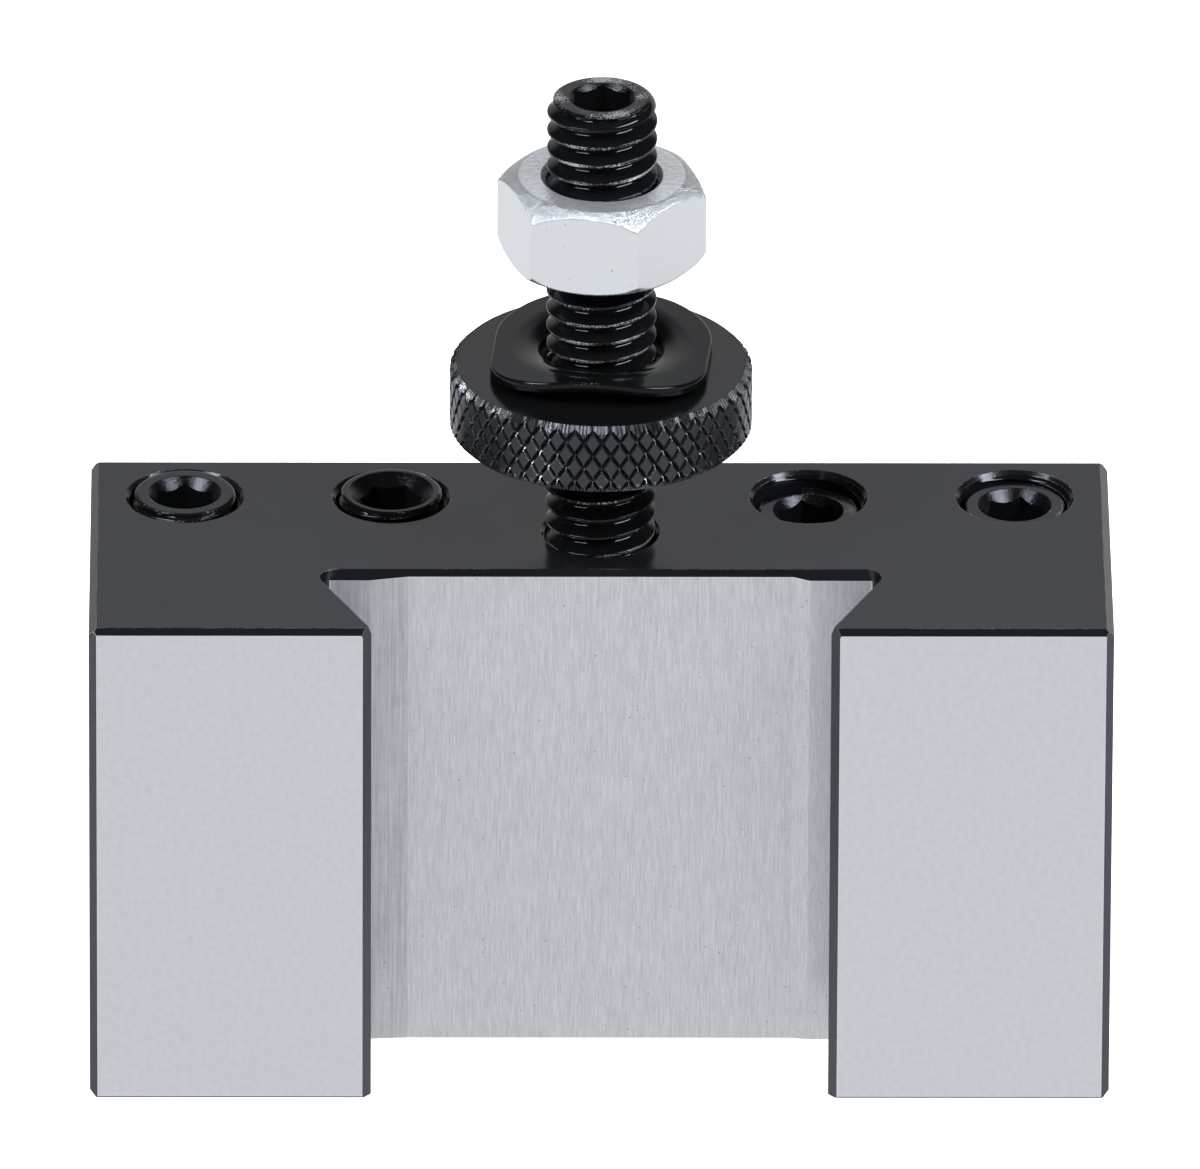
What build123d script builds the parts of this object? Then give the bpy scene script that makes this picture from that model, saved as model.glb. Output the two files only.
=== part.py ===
from build123d import *
import os
from math import cos, pi, radians, sin, tan

# Quick-change tool holder for a small lathe, in millimetres. X runs along the block, -Y is the
# dovetail side that meets the tool post, +Y is the side that holds the tool, and +Z is up.
# The origin is the centre of the block's underside.

# Block
block_length = 73.0
block_depth = 27.0
block_height = 37.6
top_bevel = 0.42
end_bevel = 0.55
base_bevel = 0.45
ground_edge_break = 0.15

# Dovetail slot, open at the front, the top and the bottom
neck_width = 32.1
dovetail_depth = 9.1
flank_angle = 25.0
nose_radius = 0.7
lead_in_width = 0.94
lead_in_depth = 0.69
mouth_bevel = 0.62
flank_bevel = 0.2

# Band that a grinding wheel left a little deeper along the middle of the dovetail's floor
ground_band_width = 27.5
ground_band_depth = 0.2
ground_band_run_outs = (2.8, 1.2)

# Tool slot, open at the back and at both ends
tool_floor_height = 9.6
tool_slot_height = 16.0
tool_slot_depth = 13.0
tool_slot_corner_radius = 0.6
tool_slot_bevel = 0.4

# Thread of the stud and the clamp screws, 5/16 inch with 18 turns to the inch, drawn plain
thread_diameter = 7.94
thread_clearance = 0.05
countersink = 0.25
drill_point_angle = 70.0

# Hexagon sockets
socket_across_flats = 3.97
socket_dish_angle = 45.0

# Clamp screws
clamp_screw_length = 12.7
clamp_screw_from_end = 6.75
clamp_screw_spacing = 14.8
clamp_screw_from_back = 5.8
clamp_screw_rises = (0.3, 0.45, -1.07, -0.62)
clamp_screw_turns = (30.0, 4.0, 41.0, 17.0)
clamp_screw_face_bevel = 0.6
clamp_screw_point_bevel = 1.2
clamp_screw_dish_diameter = 5.4
clamp_screw_socket_depth = 4.0

# Height stud
stud_length = 44.45
stud_rise = 34.6
stud_from_front = 15.7
stud_face_bevel = 0.5
stud_point_bevel = 0.8
stud_dish_diameter = 4.7
stud_socket_depth = 5.0
stud_socket_turn = 30.0

# Knurled height nut
knurled_nut_diameter = 21.6
knurled_nut_height = 5.2
knurled_nut_rise = 8.4
knurled_nut_bevel = 0.4
knurl_pitch = 1.3
knurl_depth = 0.34
knurl_row_height = 1.04

# Spring washer, bowed so that its crown stands clear of the nut below
washer_width = 15.5
washer_depth = 14.8
washer_corner_radius = 5.2
washer_thickness = 0.8
washer_bow = 1.1
washer_hole_diameter = 8.9
washer_turn = -5.0
washer_seat_gap = 0.05

# Lock nut
lock_nut_across_flats = 13.2
lock_nut_height = 6.65
lock_nut_rise = 21.8
lock_nut_face_diameter = 12.1
lock_nut_chamfer_angle = 30.0
lock_nut_turn = -10.8

# Overshoot of a cutter past the face that it leaves through
overshoot = 1.0

# Sizes and places that follow from the values above
front_y = -block_depth / 2
back_y = block_depth / 2
dovetail_floor_y = front_y + dovetail_depth
tool_slot_floor_y = back_y - tool_slot_depth
tool_roof_height = tool_floor_height + tool_slot_height
thread_radius = thread_diameter / 2
hole_radius = thread_radius + thread_clearance
clamp_screw_y = back_y - clamp_screw_from_back
outer_screw_x = block_length / 2 - clamp_screw_from_end
inner_screw_x = outer_screw_x - clamp_screw_spacing
clamp_screw_xs = (-outer_screw_x, -inner_screw_x, inner_screw_x, outer_screw_x)
stud_y = front_y + stud_from_front
stud_top = block_height + stud_rise
knurled_nut_bottom = block_height + knurled_nut_rise
knurled_nut_top = knurled_nut_bottom + knurled_nut_height
washer_bottom = knurled_nut_top + washer_seat_gap
lock_nut_bottom = block_height + lock_nut_rise
upright = (Align.CENTER, Align.CENTER, Align.MIN)


def outline(*points):
    """A closed flat face through the given points."""
    return make_face(Polyline(*points, close=True))


def bevelled_rectangle(low, high, cuts):
    """A rectangle whose corners are cut at 45 degrees, from the lower left one anticlockwise."""
    (x0, y0), (x1, y1) = low, high
    lower_left, lower_right, upper_right, upper_left = cuts
    return outline(
        (x0, y0 + lower_left), (x0 + lower_left, y0), (x1 - lower_right, y0), (x1, y0 + lower_right),
        (x1, y1 - upper_right), (x1 - upper_right, y1), (x0 + upper_left, y1), (x0, y1 - upper_left),
    )


def turned(*points):
    """A body of revolution about Z from points of radius and height."""
    return revolve(Plane.XZ * outline(*points), axis=Axis.Z)


def blank():
    """The block before it is slotted, as the common part of its bevelled plan, front and side."""
    half = block_length / 2
    plan = bevelled_rectangle((-half, front_y), (half, back_y), (end_bevel,) * 4)
    front = bevelled_rectangle((-half, 0), (half, block_height), (base_bevel,) * 2 + (end_bevel,) * 2)
    side_cuts = (ground_edge_break, base_bevel, top_bevel, top_bevel)
    side = bevelled_rectangle((front_y, 0), (back_y, block_height), side_cuts)
    body = extrude(plan, block_height)
    body &= Pos(0, back_y, 0) * extrude(Plane.XZ * front, block_depth)
    return body & Pos(-half, 0, 0) * extrude(Plane.YZ * side, block_length)


def dovetail_outline(floor_growth=0.0, flank_growth=0.0):
    """Plan of the dovetail slot with rounded noses and lead-in bevels, opened out by two margins."""
    slope = tan(radians(flank_angle))
    neck = neck_width / 2 + flank_growth / cos(radians(flank_angle))
    floor = dovetail_floor_y + floor_growth
    right = [
        (neck + lead_in_width, front_y - overshoot),
        (neck + lead_in_width, front_y),
        (neck + lead_in_depth * slope, front_y + lead_in_depth),
        (neck + (floor - front_y) * slope, floor),
    ]
    left = [(-x, y) for x, y in reversed(right)]
    plan = outline(*right, *left)
    noses = plan.vertices().group_by(Axis.Y)[-1]
    return fillet(noses, nose_radius + floor_growth)


def dovetail_cutter():
    """What the dovetail slot takes away: the slot, the bevel round its mouth and the ground band."""
    mouth = loft([
        Pos(0, 0, block_height - mouth_bevel) * dovetail_outline(),
        Pos(0, 0, block_height) * dovetail_outline(mouth_bevel, flank_bevel),
    ], ruled=True)
    half = ground_band_width / 2
    left, right = ground_band_run_outs
    band_y = dovetail_floor_y + ground_band_depth
    band = outline(
        (-half - left, dovetail_floor_y), (-half, band_y), (half, band_y),
        (half + right, dovetail_floor_y), (0, front_y),
    )
    return extrude(dovetail_outline(), block_height) + mouth + extrude(band, block_height)


def tool_slot_outline(growth=0.0):
    """Side view of the tool slot, rounded inside and bevelled at the back, opened out by a margin."""
    low, high = tool_floor_height - growth, tool_roof_height + growth
    inner, lip, past = tool_slot_floor_y - growth, back_y - tool_slot_bevel, back_y + overshoot
    side = outline(
        (inner, low), (lip, low), (back_y, low - tool_slot_bevel), (past, low - tool_slot_bevel),
        (past, high + tool_slot_bevel), (back_y, high + tool_slot_bevel), (lip, high), (inner, high),
    )
    corners = side.vertices().group_by(Axis.X)[0]
    return Plane.YZ * fillet(corners, tool_slot_corner_radius + growth)


def tool_slot_cutter():
    """The tool slot through the whole length, bevelled where it leaves both ends."""
    half = block_length / 2
    cutter = Pos(-half, 0, 0) * extrude(tool_slot_outline(), block_length)
    for side in (-1, 1):
        cutter += loft([
            Pos(side * (half - tool_slot_bevel), 0, 0) * tool_slot_outline(),
            Pos(side * half, 0, 0) * tool_slot_outline(tool_slot_bevel),
        ], ruled=True)
    return cutter


def screw_hole(bottom, point=0.0):
    """A screw hole from a height up to the block's top, countersunk, with a drill point if asked."""
    mouth = block_height - countersink
    return turned(
        (0, bottom - point), (hole_radius, bottom), (hole_radius, mouth),
        (hole_radius + countersink, block_height), (0, block_height),
    )


def tool_block():
    """The steel block: dovetail slot in front, tool slot behind, four screw holes and a stud hole."""
    block = blank() - dovetail_cutter() - tool_slot_cutter()
    for x in clamp_screw_xs:
        block -= Pos(x, clamp_screw_y, 0) * screw_hole(tool_roof_height - overshoot)
    slope = 1 / tan(radians(drill_point_angle))
    seat = (hole_radius - thread_radius + stud_point_bevel) * slope - thread_clearance
    stud_hole = screw_hole(stud_top - stud_length + seat, hole_radius * slope)
    return block - Pos(0, stud_y, 0) * stud_hole


def socket_screw(length, face_bevel, point_bevel, dish_diameter, socket_depth, socket_turn):
    """A headless screw with a dished hexagon socket in its top face, which lies at Z = 0."""
    shank = turned(
        (0, 0), (thread_radius - face_bevel, 0), (thread_radius, -face_bevel),
        (thread_radius, point_bevel - length), (thread_radius - point_bevel, -length), (0, -length),
    )
    flat = socket_across_flats / 2
    hexagon = RegularPolygon(flat, 6, major_radius=False, rotation=socket_turn)
    dish_radius = dish_diameter / 2
    dish_depth = dish_radius * tan(radians(socket_dish_angle))
    dish = turned((0, 0), (dish_radius, 0), (0, -dish_depth))
    return shank - Pos(0, 0, -socket_depth) * extrude(hexagon, socket_depth) - dish


def clamp_screw(index):
    """One of the four screws that press the tool down, at the height where it was left."""
    screw = socket_screw(
        clamp_screw_length, clamp_screw_face_bevel, clamp_screw_point_bevel,
        clamp_screw_dish_diameter, clamp_screw_socket_depth, clamp_screw_turns[index],
    )
    top = block_height + clamp_screw_rises[index]
    return Pos(clamp_screw_xs[index], clamp_screw_y, top) * screw


def height_stud():
    """The threaded stud that carries the height nut, screwed home in the block."""
    stud = socket_screw(
        stud_length, stud_face_bevel, stud_point_bevel,
        stud_dish_diameter, stud_socket_depth, stud_socket_turn,
    )
    return Pos(0, stud_y, stud_top) * stud


def knurled_sleeve(radius, height):
    """A cylinder covered in diamond pyramids, the crossing grooves of a knurling tool between them.

    Points stand on a grid of angles and heights. Every other one is a peak and the rest lie where
    two grooves cross, so each cell splits into two flat triangles along the groove through it.
    """
    columns = 2 * round(pi * 2 * radius / knurl_pitch)
    rows = max(2, round(height / knurl_row_height))

    def point(column, row):
        reach = radius - knurl_depth if (column + row) % 2 else radius
        angle = 2 * pi * (column % columns) / columns
        return (reach * cos(angle), reach * sin(angle), height * row / rows)

    faces = []
    for column in range(columns):
        for row in range(rows):
            a, b = point(column, row), point(column + 1, row)
            c, d = point(column + 1, row + 1), point(column, row + 1)
            groove_rises = (column + row) % 2
            triangles = ((a, b, c), (a, c, d)) if groove_rises else ((a, b, d), (b, c, d))
            faces += [Face(Wire.make_polygon(triangle)) for triangle in triangles]
    for row in (0, rows):
        faces.append(Face(Wire.make_polygon([point(column, row) for column in range(columns)])))
    return Solid(Shell(faces))


def knurled_nut():
    """The nut that sets the holder's height on the post, diamond knurled and bevelled at both rims."""
    radius, height, bevel = knurled_nut_diameter / 2, knurled_nut_height, knurled_nut_bevel
    bore, lip, past = hole_radius, hole_radius + countersink, bevel + overshoot
    section = turned(
        (lip, 0), (radius - bevel, 0), (radius + overshoot, past), (radius + overshoot, height - past),
        (radius - bevel, height), (lip, height), (bore, height - countersink), (bore, countersink),
    )
    return Pos(0, stud_y, knurled_nut_bottom) * (section & knurled_sleeve(radius, height))


def spring_washer():
    """The bowed square washer between the two nuts, resting on the height nut by its two sides."""
    half = washer_width / 2
    arch = ThreePointArc((-half, 0), (0, washer_bow), (half, 0))
    roof = ThreePointArc((half, washer_thickness), (0, washer_bow + washer_thickness), (-half, washer_thickness))
    sides = [Line(arch @ 1, roof @ 0), Line(roof @ 1, arch @ 0)]
    strip = extrude(Plane.XZ * make_face([arch, sides[0], roof, sides[1]]), washer_depth / 2, both=True)
    height = washer_bow + washer_thickness
    plan = RectangleRounded(washer_width, washer_depth, washer_corner_radius)
    washer = strip & extrude(plan, height)
    washer -= Cylinder(washer_hole_diameter / 2, height, align=upright)
    return Pos(0, stud_y, washer_bottom) * Rot(0, 0, washer_turn) * washer


def lock_nut():
    """The hexagon nut that locks the height nut, chamfered at both faces."""
    apothem, height = lock_nut_across_flats / 2, lock_nut_height
    corner = apothem / cos(pi / 6)
    face = lock_nut_face_diameter / 2
    drop = (corner - face) * tan(radians(lock_nut_chamfer_angle))
    bore, lip = hole_radius, hole_radius + 2 * countersink
    section = turned(
        (lip, 0), (face, 0), (corner, drop), (corner, height - drop), (face, height),
        (lip, height), (bore, height - 2 * countersink), (bore, 2 * countersink),
    )
    hexagon = RegularPolygon(apothem, 6, major_radius=False, rotation=lock_nut_turn)
    return Pos(0, stud_y, lock_nut_bottom) * (section & extrude(hexagon, height))


pieces = {
    "tool_block": tool_block(),
    "height_stud": height_stud(),
    "knurled_nut": knurled_nut(),
    "spring_washer": spring_washer(),
    "lock_nut": lock_nut(),
}
for index in range(len(clamp_screw_xs)):
    pieces[f"clamp_screw_{index + 1}"] = clamp_screw(index)

os.makedirs("parts", exist_ok=True)
for name, piece in pieces.items():
    export_step(piece, f"parts/{name}.step")
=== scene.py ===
"""Looks of a quick-change lathe tool holder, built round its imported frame.

Sizes in the classes are real sizes in millimetres and are turned to metres once, when a mesh is made.
Places come from the frame's own nodes, so each piece sits where its solid is.
"""
import logging
import math
from dataclasses import dataclass
from enum import Enum
from typing import Any, Callable, Iterable, Optional

import bmesh
import bpy
from mathutils import Matrix, Vector


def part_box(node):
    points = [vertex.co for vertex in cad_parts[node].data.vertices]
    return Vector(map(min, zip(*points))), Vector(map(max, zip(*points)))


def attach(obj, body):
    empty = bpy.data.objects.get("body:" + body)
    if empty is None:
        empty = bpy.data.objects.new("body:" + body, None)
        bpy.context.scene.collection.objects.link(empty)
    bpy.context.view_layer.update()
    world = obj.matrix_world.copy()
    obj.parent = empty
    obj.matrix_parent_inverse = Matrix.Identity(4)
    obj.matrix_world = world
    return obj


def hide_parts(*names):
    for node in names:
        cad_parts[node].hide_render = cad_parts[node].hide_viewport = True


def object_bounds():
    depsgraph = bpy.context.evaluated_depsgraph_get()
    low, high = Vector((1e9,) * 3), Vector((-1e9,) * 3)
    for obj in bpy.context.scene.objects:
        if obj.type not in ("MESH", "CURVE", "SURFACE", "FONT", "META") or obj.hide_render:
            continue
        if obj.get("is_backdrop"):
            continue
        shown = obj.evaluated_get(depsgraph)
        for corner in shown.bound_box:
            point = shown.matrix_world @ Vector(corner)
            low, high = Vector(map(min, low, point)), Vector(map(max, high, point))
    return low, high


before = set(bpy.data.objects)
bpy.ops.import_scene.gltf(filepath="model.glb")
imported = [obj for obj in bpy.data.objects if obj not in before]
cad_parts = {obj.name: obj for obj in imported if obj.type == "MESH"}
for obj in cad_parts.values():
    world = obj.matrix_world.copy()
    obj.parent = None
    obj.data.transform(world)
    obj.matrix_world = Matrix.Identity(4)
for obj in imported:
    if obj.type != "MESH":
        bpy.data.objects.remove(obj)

log = logging.getLogger("lathe_tool_holder")

MM = 0.001
INCH = 25.4
TURNS_PER_INCH = 18
TINY = 1e-6
WEAR = "wear"

Pair = tuple[float, float]
Point = tuple[float, float, float]
Row = list[Point]
Tree = bpy.types.NodeTree
Socket = bpy.types.NodeSocket
Outputs = bpy.types.bpy_prop_collection

# Strength at which light shows as white.
WHITE = 1.0
# A pattern that runs no way in particular.
EVEN: Point = (1.0, 1.0, 1.0)
# Values between which most of a pattern lies, and between which its peaks show as pits and specks.
PATTERN_SPAN: Pair = (0.3, 0.7)
SPECK_SPAN: Pair = (0.74, 0.8)
# Cosines between a rounded and a flat normal at which an edge starts to show and is full.
EDGE_SPAN: Pair = (0.995, 0.95)
# Straight steps in a rounded corner, and the largest share of an edge that a corner takes up.
FILLET_STEPS = 4
FILLET_SHARE = 0.49


class Slot(Enum):
    """Material slots of the record."""

    BLOCK = "black_oxide_block"
    HARDWARE = "black_oxide_hardware"
    ZINC = "zinc_plate"


class Body(Enum):
    """Bodies of the frame that new pieces ride on."""

    HOLDER = "holder"
    WASHER = "spring_washer"
    HEIGHT_NUT = "knurled_nut"
    LOCK_NUT = "lock_nut"


def linear(hex_colour: str) -> tuple[float, float, float, float]:
    """Turns an sRGB hex colour to linear light.

    Args:
        hex_colour: The colour as "#rrggbb".

    Returns:
        Red, green, blue and an alpha of 1.
    """
    parts = [int(hex_colour[k:k + 2], 16) / 255 for k in (1, 3, 5)]
    red, green, blue = (c / 12.92 if c <= 0.04045 else ((c + 0.055) / 1.055) ** 2.4 for c in parts)
    return red, green, blue, 1.0


def per_metre(millimetres: float) -> float:
    """Texture scale that repeats a pattern at that real spacing."""
    return 1 / (millimetres * MM)


def add_node(
    tree: Tree, kind: str, values: Optional[dict[Any, Any]] = None, links: Optional[dict[Any, Socket]] = None,
    **options: Any,
) -> Outputs:
    """Adds a node with its settings and links.

    Args:
        tree: The node tree that gets the node.
        kind: Blender's type name of the node, less the ShaderNode that it starts with.
        values: Constants for its inputs, by name or number.
        links: Sockets of other nodes that feed its inputs, by name or number.
        **options: The node's own settings.

    Returns:
        The new node's outputs.
    """
    node = tree.nodes.new(f"ShaderNode{kind}")
    for name, value in options.items():
        setattr(node, name, value)
    for key, value in (values or {}).items():
        node.inputs[key].default_value = value
    for key, socket in (links or {}).items():
        tree.links.new(socket, node.inputs[key])
    return node.outputs


def mottled(
    tree: Tree, place: Socket, size: float, detail: float, roughness: float, length: Optional[Point] = None,
) -> Socket:
    """Adds a mottled pattern of a real size.

    Args:
        tree: The material's node tree.
        place: The surface point.
        size: Size of its grains in millimetres.
        detail: How many finer patterns lie over it.
        roughness: How strong the finer ones are.
        length: How many times longer the grains are along each axis, where they are drawn out.

    Returns:
        Its value, which lies round one half.
    """
    scale = per_metre(size)
    if length:
        drawn = tuple(per_metre(size * share) for share in length)
        place = add_node(tree, "Mapping", {"Scale": drawn}, {"Vector": place})[0]
        scale = 1.0
    values = {"Scale": scale, "Detail": detail, "Roughness": roughness}
    return add_node(tree, "TexNoise", values, {"Vector": place})[0]


def with_specks(tree: Tree, colour: Socket, place: Socket, size: float, speck: str, share: float) -> Socket:
    """Lays small specks over a colour.

    Args:
        tree: The material's node tree.
        colour: The surface's colour.
        place: The surface point.
        size: Size of the specks in millimetres.
        speck: Their colour.
        share: How much of their colour shows.

    Returns:
        The colour with its specks.
    """
    start, full = SPECK_SPAN
    shown = add_node(
        tree, "MapRange", {"From Min": start, "From Max": full, "To Max": share},
        {"Value": mottled(tree, place, size, detail=1.0, roughness=0.5)},
    )
    return add_node(tree, "Mix", {7: linear(speck)}, {0: shown[0], 6: colour}, data_type="RGBA")[2]


def bumped(tree: Tree, height: Socket, depth: float, normal: Optional[Socket] = None) -> Socket:
    """Adds relief of a depth in millimetres, over another relief if one is given."""
    links = {"Height": height, **({"Normal": normal} if normal else {})}
    return add_node(tree, "Bump", {"Strength": 1.0, "Distance": depth * MM}, links)[0]


def softened(tree: Tree, radius: float) -> Optional[Socket]:
    """Adds edges that look rounded by a radius in millimetres, or nothing for a radius of 0."""
    if radius <= 0:
        return None
    return add_node(tree, "Bevel", {"Radius": radius * MM}, samples=4)[0]


def edge_line(tree: Tree, radius: float) -> Socket:
    """Gives 1 along edges, where a rounded normal parts from the flat one, and 0 elsewhere."""
    start, full = EDGE_SPAN
    rounded = add_node(tree, "Bevel", {"Radius": radius * MM}, samples=6)[0]
    flat = add_node(tree, "NewGeometry")["True Normal"]
    alike = add_node(tree, "VectorMath", links={0: rounded, 1: flat}, operation="DOT_PRODUCT")
    return add_node(tree, "MapRange", {"From Min": start, "From Max": full}, {"Value": alike["Value"]})[0]


def in_mirrors(tree: Tree, path: Outputs) -> Socket:
    """Gives 1 to rays from gloss and glass, and 0 to all others."""
    links = {0: path["Is Glossy Ray"], 1: path["Is Transmission Ray"]}
    return add_node(tree, "Math", links=links, operation="MAXIMUM")[0]


@dataclass(frozen=True)
class Finish:
    """A surface finish. Each kind of finish fills in its own shader."""

    name: str

    def material(self) -> bpy.types.Material:
        """Makes the material, or gives the one that was made before.

        Returns:
            The material, named for the real material and process.
        """
        known = bpy.data.materials.get(self.name)
        if known:
            return known
        material = bpy.data.materials.new(self.name)
        material.use_nodes = True
        tree = material.node_tree
        tree.nodes.clear()
        shader = self.shade(tree)
        add_node(tree, "OutputMaterial", links={"Surface": shader})
        return material

    def shade(self, tree: Tree) -> Socket:
        """Fills the tree and returns the shader's socket."""
        raise NotImplementedError


@dataclass(frozen=True)
class BlackOxide(Finish):
    """Steel blackened in a hot bath and oiled: a thin glassy black film, worn to steel at its edges.

    The film reflects like a varnish, so it is a dielectric over near-black, and what is worn through
    is bare metal. Machining marks below the film show as faint lines.
    """

    film: str = "#0c0d10"
    tint: str = "#e6edff"
    bare: str = "#b4b8bc"
    index: float = 1.38
    roughness: float = 0.17
    bare_roughness: float = 0.34
    cloudiness: float = 0.03
    cloud_size: float = 4.5
    mark_spacing: float = 0.11
    mark_length: Point = (5.0, 1.0, 1.0)
    mark_depth: float = 0.0009
    grain: float = 0.16
    grain_depth: float = 0.0006
    rounding: float = 0.0
    wear: float = 0.0
    wear_sharpness: float = 3.0
    bare_span: Pair = (1.28, 1.42)
    fleck: float = 0.22
    patch: float = 3.0

    def shade(self, tree: Tree) -> Socket:
        """Fills the tree: film, machining marks, cloudy oil and worn flecks.

        Args:
            tree: The material's node tree.

        Returns:
            The shader's output socket.
        """
        place = add_node(tree, "TexCoord")["Object"]
        marks = mottled(tree, place, self.mark_spacing, detail=2.0, roughness=0.6, length=self.mark_length)
        grain = mottled(tree, place, self.grain, detail=3.0, roughness=0.7)
        cloud = mottled(tree, place, self.cloud_size, detail=3.0, roughness=0.6)
        marked = bumped(tree, marks, self.mark_depth, softened(tree, self.rounding))
        grained = bumped(tree, grain, self.grain_depth, marked)
        worn = self.worn(tree, place)
        low, high = PATTERN_SPAN
        oily = add_node(
            tree, "MapRange",
            {"From Min": low, "From Max": high, "To Min": self.roughness - self.cloudiness,
             "To Max": self.roughness + self.cloudiness},
            {"Value": cloud},
        )
        colour = add_node(
            tree, "Mix", {6: linear(self.film), 7: linear(self.bare)}, {0: worn}, data_type="RGBA",
        )
        rough = add_node(tree, "Mix", {3: self.bare_roughness}, {0: worn, 2: oily[0]}, data_type="FLOAT")
        return add_node(
            tree, "BsdfPrincipled", {"IOR": self.index, "Specular Tint": linear(self.tint)},
            {"Base Color": colour[2], "Metallic": worn, "Roughness": rough[0], "Normal": grained},
        )[0]

    def worn(self, tree: Tree, place: Socket) -> Socket:
        """Gives where the film is rubbed through, from the mesh's own wear and a broken-up noise.

        Args:
            tree: The material's node tree.
            place: The surface point.

        Returns:
            A socket from 0, whole, to 1, bare.
        """
        rubbed = add_node(tree, "Attribute", attribute_name=WEAR)["Fac"]
        if self.rounding > 0:
            edge = edge_line(tree, self.rounding)
            rubbed = add_node(tree, "Math", links={0: rubbed, 1: edge}, operation="MAXIMUM")[0]
        exposed = add_node(tree, "Math", {1: self.wear_sharpness}, {0: rubbed}, operation="POWER")[0]
        flecks = mottled(tree, place, self.fleck, detail=4.0, roughness=0.75)
        patches = mottled(tree, place, self.patch, detail=2.0, roughness=0.5)
        broken = add_node(tree, "Math", links={0: flecks, 1: patches}, operation="ADD")
        total = add_node(tree, "Math", {1: self.wear}, {0: exposed, 2: broken[0]}, operation="MULTIPLY_ADD")
        start, full = self.bare_span
        bare = add_node(tree, "MapRange", {"From Min": start, "From Max": full}, {"Value": total[0]})
        return add_node(tree, "Math", links={0: bare[0], 1: exposed}, operation="MULTIPLY")[0]


@dataclass(frozen=True)
class GroundSteel(Finish):
    """Bare steel, ground or milled: bright, even, with fine grain along the way that it was cut."""

    light: str = "#cccfd4"
    dark: str = "#c3c6cb"
    pit: str = "#7b7e83"
    # Colour and width of a painted highlight: a pale line along every edge, where light catches it.
    edge_highlight: str = "#f0f2f5"
    roughness: float = 0.42
    grain_width: float = 0.12
    grain_length: Point = (1.0, 1.0, 8.0)
    grain_depth: float = 0.0008
    grain_tone: float = 0.3
    tone_span: Pair = (0.34, 0.66)
    mottle: float = 0.5
    pit_size: float = 0.25
    pitted: float = 0.3
    edge_highlight_width: float = 0.1

    def shade(self, tree: Tree) -> Socket:
        """Fills the tree: grain, mottling and pits on bare metal, and a painted highlight along its edges.

        Args:
            tree: The material's node tree.

        Returns:
            The shader's output socket.
        """
        place = add_node(tree, "TexCoord")["Object"]
        grain = mottled(tree, place, self.grain_width, detail=6.0, roughness=0.78, length=self.grain_length)
        mottle = mottled(tree, place, self.mottle, detail=4.0, roughness=0.6)
        blend = add_node(tree, "Mix", {0: self.grain_tone}, {2: mottle, 3: grain}, data_type="FLOAT")
        start, full = self.tone_span
        spread = add_node(tree, "MapRange", {"From Min": start, "From Max": full}, {"Value": blend[0]})
        colour = add_node(
            tree, "Mix", {6: linear(self.dark), 7: linear(self.light)}, {0: spread[0]},
            data_type="RGBA",
        )[2]
        marked = with_specks(tree, colour, place, self.pit_size, self.pit, self.pitted)
        # Painted highlight: the colour turns pale along the edges.
        highlighted = add_node(
            tree, "Mix", {7: linear(self.edge_highlight)}, {0: edge_line(tree, self.edge_highlight_width), 6: marked},
            data_type="RGBA",
        )
        return add_node(
            tree, "BsdfPrincipled", {"Metallic": 1.0, "Roughness": self.roughness},
            {"Base Color": highlighted[2], "Normal": bumped(tree, grain, self.grain_depth)},
        )[0]


@dataclass(frozen=True)
class ZincPlate(Finish):
    """Bright zinc electroplate on a forged nut: pale, slightly blue, with dull specks and a soft shine."""

    light: str = "#e2e6ea"
    dark: str = "#d6dadf"
    speck: str = "#8d9094"
    metal: float = 0.98
    roughness: float = 0.34
    grain: float = 0.2
    grain_depth: float = 0.0014
    specked: float = 0.6
    speck_size: float = 0.3

    def shade(self, tree: Tree) -> Socket:
        """Fills the tree: plated grain, tone and dull specks over bare metal.

        Args:
            tree: The material's node tree.

        Returns:
            The shader's output socket.
        """
        place = add_node(tree, "TexCoord")["Object"]
        grain = mottled(tree, place, self.grain, detail=4.0, roughness=0.7)
        colour = add_node(
            tree, "Mix", {6: linear(self.dark), 7: linear(self.light)}, {0: grain}, data_type="RGBA",
        )[2]
        return add_node(
            tree, "BsdfPrincipled", {"Metallic": self.metal, "Roughness": self.roughness},
            {"Base Color": with_specks(tree, colour, place, self.speck_size, self.speck, self.specked),
             "Normal": bumped(tree, grain, self.grain_depth)},
        )[0]


@dataclass(frozen=True)
class BackdropPaper(Finish):
    """Matt white backdrop paper: bright to the eye and in reflections, with the object's soft shadow."""

    paper: str = "#d8d8d8"
    glow: float = 0.5

    def shade(self, tree: Tree) -> Socket:
        """Fills the tree: matt paper, and a white that only the camera and reflections see.

        Args:
            tree: The material's node tree.

        Returns:
            The shader's output socket.
        """
        path = add_node(tree, "LightPath")
        matt = add_node(tree, "BsdfDiffuse", {"Color": linear(self.paper)})
        seen = add_node(tree, "Mix", {2: 0.0, 3: self.glow}, {0: path["Is Camera Ray"]}, data_type="FLOAT")
        glow = add_node(tree, "Emission", links={"Strength": seen[0]})
        lit = add_node(tree, "AddShader", links={0: matt[0], 1: glow[0]})
        white = add_node(tree, "Emission", {"Strength": WHITE})
        links = {0: in_mirrors(tree, path), 1: lit[0], 2: white[0]}
        return add_node(tree, "MixShader", links=links)[0]


# The block is milled, blackened and oiled: a satin black with faint lines along its length.
BLOCK_BLACK = BlackOxide("Black oxide on milled steel", rounding=0.08, wear=0.3)
# The bevels beside the dovetail were filed before blackening: a thinner, duller and greyer film.
# Its greyer film is partly painted sheen: it lightens these front bevels to the brightness that reflected
# light gives them.
FILED_BLACK_AND_SHEEN = BlackOxide(
    "Black oxide on a filed edge", film="#27282c", roughness=0.34, rounding=0.06, wear=0.24,
)
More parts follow.
